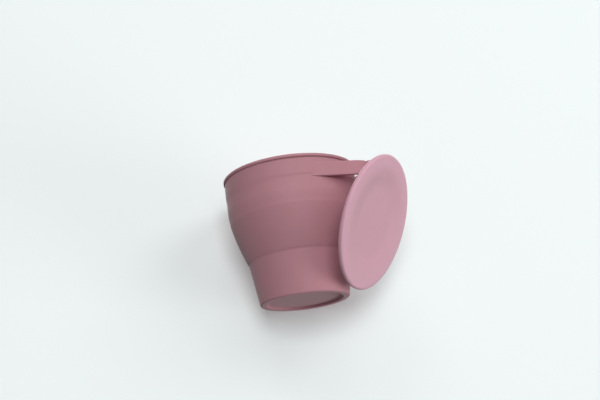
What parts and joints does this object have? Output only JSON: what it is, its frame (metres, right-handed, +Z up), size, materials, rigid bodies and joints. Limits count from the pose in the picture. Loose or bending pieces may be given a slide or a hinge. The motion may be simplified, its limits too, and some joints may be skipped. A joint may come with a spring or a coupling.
{
  "type": "toddler snack cup",
  "caption": "Collapsible silicone snack cup for a toddler, with a fold line in its bowl, a carrying strap, a flap guard in its mouth and a tethered lid folded back.",
  "frame": {"origin": "centre of the base, on the surface that the cup stands on", "axes": "+Z up along the cup's axis, +X from the axis to the nose of the carrying strap and the lid"},
  "size_m": [0.1222, 0.09, 0.0886],
  "materials": {
    "cup_silicone": "matte moulded silicone, dusty rose",
    "guard_silicone": "matte moulded silicone, softer and thinner",
    "lid_silicone": "matte moulded silicone, dusty rose"
  },
  "bodies": {
    "cup_body": {"upper_bowl": "cup_silicone", "fold_web": "cup_silicone", "handle_strap": "cup_silicone", "guard_ring": "guard_silicone"},
    "lower_cup": {"lower_cup": "cup_silicone"},
    "tether": {"tether": "lid_silicone"},
    "lid": {"lid": "lid_silicone"},
    "flap_1": {"flap_1": "guard_silicone"},
    "flap_2": {"flap_2": "guard_silicone"},
    "flap_3": {"flap_3": "guard_silicone"},
    "flap_4": {"flap_4": "guard_silicone"},
    "flap_5": {"flap_5": "guard_silicone"},
    "flap_6": {"flap_6": "guard_silicone"},
    "flap_7": {"flap_7": "guard_silicone"},
    "flap_8": {"flap_8": "guard_silicone"}
  },
  "joints": [
    {"name": "collapse", "type": "slide", "parent": "cup_body", "child": "lower_cup", "axis": [0, 0, 1], "range_m": [0, 0.0548], "deforming": ["fold_web"]},
    {"name": "tether_fold", "type": "hinge", "parent": "cup_body", "child": "tether", "pos_m": [0.058, 0, 0.081], "axis": [0, -1, 0], "range_deg": [0, 146.2]},
    {"name": "lid_fold", "type": "hinge", "parent": "tether", "child": "lid", "pos_m": [0.07514, 0, 0.08055], "axis": [0, -1, 0], "range_deg": [0, 149.5]},
    {"name": "flap_1_bend", "type": "hinge", "parent": "cup_body", "child": "flap_1", "pos_m": [0.02494, 0.01033, 0.0862], "axis": [0.3827, -0.9239, 0], "range_deg": [0, 65], "stiffness_Nm_per_rad": 0.002},
    {"name": "flap_2_bend", "type": "hinge", "parent": "cup_body", "child": "flap_2", "pos_m": [0.01033, 0.02494, 0.0862], "axis": [0.9239, -0.3827, 0], "range_deg": [0, 65], "stiffness_Nm_per_rad": 0.002},
    {"name": "flap_3_bend", "type": "hinge", "parent": "cup_body", "child": "flap_3", "pos_m": [-0.01033, 0.02494, 0.0862], "axis": [0.9239, 0.3827, 0], "range_deg": [0, 65], "stiffness_Nm_per_rad": 0.002},
    {"name": "flap_4_bend", "type": "hinge", "parent": "cup_body", "child": "flap_4", "pos_m": [-0.02494, 0.01033, 0.0862], "axis": [0.3827, 0.9239, 0], "range_deg": [0, 65], "stiffness_Nm_per_rad": 0.002},
    {"name": "flap_5_bend", "type": "hinge", "parent": "cup_body", "child": "flap_5", "pos_m": [-0.02494, -0.01033, 0.0862], "axis": [-0.3827, 0.9239, 0], "range_deg": [0, 65], "stiffness_Nm_per_rad": 0.002},
    {"name": "flap_6_bend", "type": "hinge", "parent": "cup_body", "child": "flap_6", "pos_m": [-0.01033, -0.02494, 0.0862], "axis": [-0.9239, 0.3827, 0], "range_deg": [0, 65], "stiffness_Nm_per_rad": 0.002},
    {"name": "flap_7_bend", "type": "hinge", "parent": "cup_body", "child": "flap_7", "pos_m": [0.01033, -0.02494, 0.0862], "axis": [-0.9239, -0.3827, 0], "range_deg": [0, 65], "stiffness_Nm_per_rad": 0.002},
    {"name": "flap_8_bend", "type": "hinge", "parent": "cup_body", "child": "flap_8", "pos_m": [0.02494, -0.01033, 0.0862], "axis": [-0.3827, -0.9239, 0], "range_deg": [0, 65], "stiffness_Nm_per_rad": 0.002}
  ],
  "couplings": [
    {"joint": "lid_fold", "follows": "tether_fold", "ratio": 1.0219},
    {"joint": "flap_2_bend", "follows": "flap_1_bend", "ratio": 1},
    {"joint": "flap_3_bend", "follows": "flap_1_bend", "ratio": 1},
    {"joint": "flap_4_bend", "follows": "flap_1_bend", "ratio": 1},
    {"joint": "flap_5_bend", "follows": "flap_1_bend", "ratio": 1},
    {"joint": "flap_6_bend", "follows": "flap_1_bend", "ratio": 1},
    {"joint": "flap_7_bend", "follows": "flap_1_bend", "ratio": 1},
    {"joint": "flap_8_bend", "follows": "flap_1_bend", "ratio": 1}
  ]
}
